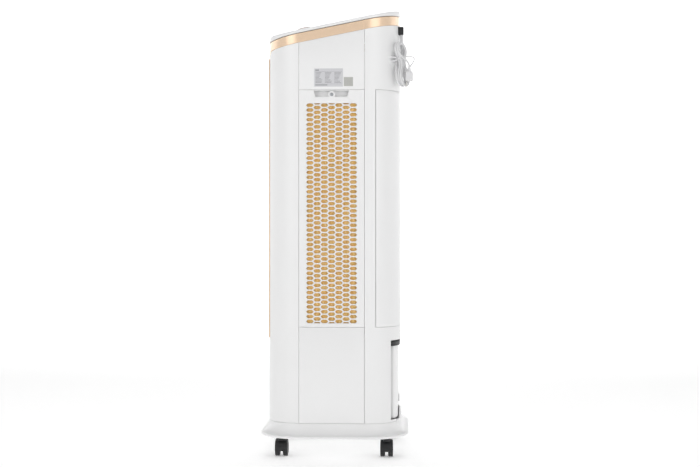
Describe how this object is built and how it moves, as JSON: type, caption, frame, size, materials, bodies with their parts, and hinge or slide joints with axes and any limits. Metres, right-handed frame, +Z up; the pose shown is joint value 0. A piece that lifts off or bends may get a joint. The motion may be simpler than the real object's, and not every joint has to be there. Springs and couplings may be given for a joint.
{
  "type": "evaporative air cooler",
  "caption": "Tall domestic tower evaporative air cooler on casters, with honeycomb side filters, a pull-out rear water tank, a tilting front outlet and a champagne trim band.",
  "frame": {"origin": "on the floor, under the middle of the body", "axes": "+Z up, -Y towards the air outlet, +X towards the side filter with the rating label"},
  "size_m": [0.416, 0.387, 1.1323],
  "materials": {
    "white_abs": "glossy moulded",
    "champagne_paint": "satin metallic paint on plastic",
    "black_plastic": "fine moulded grain",
    "wheel_nylon": "moulded nylon",
    "honeycomb_paper": "corrugated cellulose",
    "zinc_steel": "zinc plated",
    "inner_plastic": "moulded",
    "clear_pp": "moulded polypropylene",
    "hose_silicone": "smooth",
    "seal_rubber": "matt",
    "bush_brass": "sintered",
    "circuit_board": "solder mask",
    "dark_window": "polished",
    "label_foil": "printed foil",
    "cord_pvc": "satin pvc"
  },
  "bodies": {
    "cooler": {"base_plate": "white_abs", "caster_sleeves": "zinc_steel", "front_shell": "white_abs", "rear_shell": "white_abs", "side_panel_left": "white_abs", "side_panel_right": "white_abs", "top_band": "champagne_paint", "top_cover": "white_abs", "front_trim": "champagne_paint", "front_panel": "white_abs", "display_window": "dark_window", "control_board": "circuit_board", "fan_deck": "inner_plastic", "scroll_housing": "inner_plastic", "fan_top_plate": "inner_plastic", "fan_motor": "zinc_steel", "fan_bush": "bush_brass", "swing_motor": "inner_plastic", "water_tray": "inner_plastic", "water_pump": "inner_plastic", "water_hose": "hose_silicone", "side_labels": "label_foil", "shell_screws": "zinc_steel", "cord_outlet": "black_plastic", "strain_relief": "cord_pvc", "cord_lead": "cord_pvc", "cord_hank": "cord_pvc", "cord_tail": "cord_pvc", "plug": "cord_pvc"},
    "mode_knob": {"mode_knob": "champagne_paint"},
    "fan": {"fan_wheel": "inner_plastic", "fan_shaft": "zinc_steel"},
    "louver_link": {"louver_link": "inner_plastic"},
    "left_filter": {"side_grille_left": "white_abs", "side_pad_left": "honeycomb_paper", "grille_screw_left": "zinc_steel"},
    "right_filter": {"side_grille_right": "white_abs", "side_pad_right": "honeycomb_paper", "grille_screw_right": "zinc_steel"},
    "rear_filter": {"rear_cover": "white_abs", "rear_pad": "honeycomb_paper"},
    "tank": {"water_tank": "clear_pp", "tank_handle": "black_plastic", "drain_plug": "seal_rubber"},
    "louver_1": {"louver_1": "champagne_paint"},
    "louver_2": {"louver_2": "champagne_paint"},
    "louver_3": {"louver_3": "champagne_paint"},
    "louver_4": {"louver_4": "champagne_paint"},
    "louver_5": {"louver_5": "champagne_paint"},
    "louver_6": {"louver_6": "champagne_paint"},
    "louver_7": {"louver_7": "champagne_paint"},
    "louver_8": {"louver_8": "champagne_paint"},
    "caster_1": {"caster_1": "black_plastic"},
    "wheels_1": {"wheels_1": "wheel_nylon"},
    "caster_2": {"caster_2": "black_plastic"},
    "wheels_2": {"wheels_2": "wheel_nylon"},
    "caster_3": {"caster_3": "black_plastic"},
    "wheels_3": {"wheels_3": "wheel_nylon"},
    "caster_4": {"caster_4": "black_plastic"},
    "wheels_4": {"wheels_4": "wheel_nylon"}
  },
  "joints": [
    {"name": "knob_turn", "type": "hinge", "parent": "cooler", "child": "mode_knob", "pos_m": [0, -0.079, 1.0633], "axis": [0, -0.1925, 0.9813], "range_deg": [0, 270]},
    {"name": "fan_spin", "type": "hinge", "parent": "cooler", "child": "fan", "pos_m": [0, -0.055, 0.7], "axis": [0, 0, 1], "continuous": true},
    {"name": "left_filter_slide", "type": "slide", "parent": "cooler", "child": "left_filter", "axis": [-1, 0, 0], "range_m": [0, 0.1]},
    {"name": "right_filter_slide", "type": "slide", "parent": "cooler", "child": "right_filter", "axis": [1, 0, 0], "range_m": [0, 0.1]},
    {"name": "rear_filter_slide", "type": "slide", "parent": "cooler", "child": "rear_filter", "axis": [0, 1, 0], "range_m": [0, 0.1]},
    {"name": "tank_slide", "type": "slide", "parent": "cooler", "child": "tank", "axis": [0, 1, 0], "range_m": [0, 0.15]},
    {"name": "louver_1_tilt", "type": "hinge", "parent": "cooler", "child": "louver_1", "pos_m": [0, -0.148, 0.5], "axis": [1, 0, 0], "range_deg": [-30, 30]},
    {"name": "louver_2_tilt", "type": "hinge", "parent": "cooler", "child": "louver_2", "pos_m": [0, -0.148, 0.56], "axis": [1, 0, 0], "range_deg": [-30, 30]},
    {"name": "louver_3_tilt", "type": "hinge", "parent": "cooler", "child": "louver_3", "pos_m": [0, -0.148, 0.62], "axis": [1, 0, 0], "range_deg": [-30, 30]},
    {"name": "louver_4_tilt", "type": "hinge", "parent": "cooler", "child": "louver_4", "pos_m": [0, -0.148, 0.68], "axis": [1, 0, 0], "range_deg": [-30, 30]},
    {"name": "louver_5_tilt", "type": "hinge", "parent": "cooler", "child": "louver_5", "pos_m": [0, -0.148, 0.74], "axis": [1, 0, 0], "range_deg": [-30, 30]},
    {"name": "louver_6_tilt", "type": "hinge", "parent": "cooler", "child": "louver_6", "pos_m": [0, -0.148, 0.8], "axis": [1, 0, 0], "range_deg": [-30, 30]},
    {"name": "louver_7_tilt", "type": "hinge", "parent": "cooler", "child": "louver_7", "pos_m": [0, -0.148, 0.86], "axis": [1, 0, 0], "range_deg": [-30, 30]},
    {"name": "louver_8_tilt", "type": "hinge", "parent": "cooler", "child": "louver_8", "pos_m": [0, -0.148, 0.92], "axis": [1, 0, 0], "range_deg": [-30, 30]},
    {"name": "louver_link_swing", "type": "hinge", "parent": "louver_1", "child": "louver_link", "pos_m": [0.0745, -0.136, 0.5], "axis": [1, 0, 0], "range_deg": [-30, 30]},
    {"name": "caster_1_swivel", "type": "hinge", "parent": "cooler", "child": "caster_1", "pos_m": [0.14, -0.133, 0.06], "axis": [0, 0, 1], "continuous": true},
    {"name": "wheels_1_roll", "type": "hinge", "parent": "caster_1", "child": "wheels_1", "pos_m": [0.128, -0.133, 0.02], "axis": [0, 1, 0], "continuous": true},
    {"name": "caster_2_swivel", "type": "hinge", "parent": "cooler", "child": "caster_2", "pos_m": [-0.14, -0.133, 0.06], "axis": [0, 0, 1], "continuous": true},
    {"name": "wheels_2_roll", "type": "hinge", "parent": "caster_2", "child": "wheels_2", "pos_m": [-0.152, -0.133, 0.02], "axis": [0, 1, 0], "continuous": true},
    {"name": "caster_3_swivel", "type": "hinge", "parent": "cooler", "child": "caster_3", "pos_m": [0.14, 0.133, 0.06], "axis": [0, 0, 1], "continuous": true},
    {"name": "wheels_3_roll", "type": "hinge", "parent": "caster_3", "child": "wheels_3", "pos_m": [0.128, 0.133, 0.02], "axis": [0, 1, 0], "continuous": true},
    {"name": "caster_4_swivel", "type": "hinge", "parent": "cooler", "child": "caster_4", "pos_m": [-0.14, 0.133, 0.06], "axis": [0, 0, 1], "continuous": true},
    {"name": "wheels_4_roll", "type": "hinge", "parent": "caster_4", "child": "wheels_4", "pos_m": [-0.152, 0.133, 0.02], "axis": [0, 1, 0], "continuous": true}
  ],
  "couplings": [
    {"joint": "louver_2_tilt", "follows": "louver_1_tilt", "ratio": 1},
    {"joint": "louver_3_tilt", "follows": "louver_1_tilt", "ratio": 1},
    {"joint": "louver_4_tilt", "follows": "louver_1_tilt", "ratio": 1},
    {"joint": "louver_5_tilt", "follows": "louver_1_tilt", "ratio": 1},
    {"joint": "louver_6_tilt", "follows": "louver_1_tilt", "ratio": 1},
    {"joint": "louver_7_tilt", "follows": "louver_1_tilt", "ratio": 1},
    {"joint": "louver_8_tilt", "follows": "louver_1_tilt", "ratio": 1},
    {"joint": "louver_link_swing", "follows": "louver_1_tilt", "ratio": -1}
  ]
}
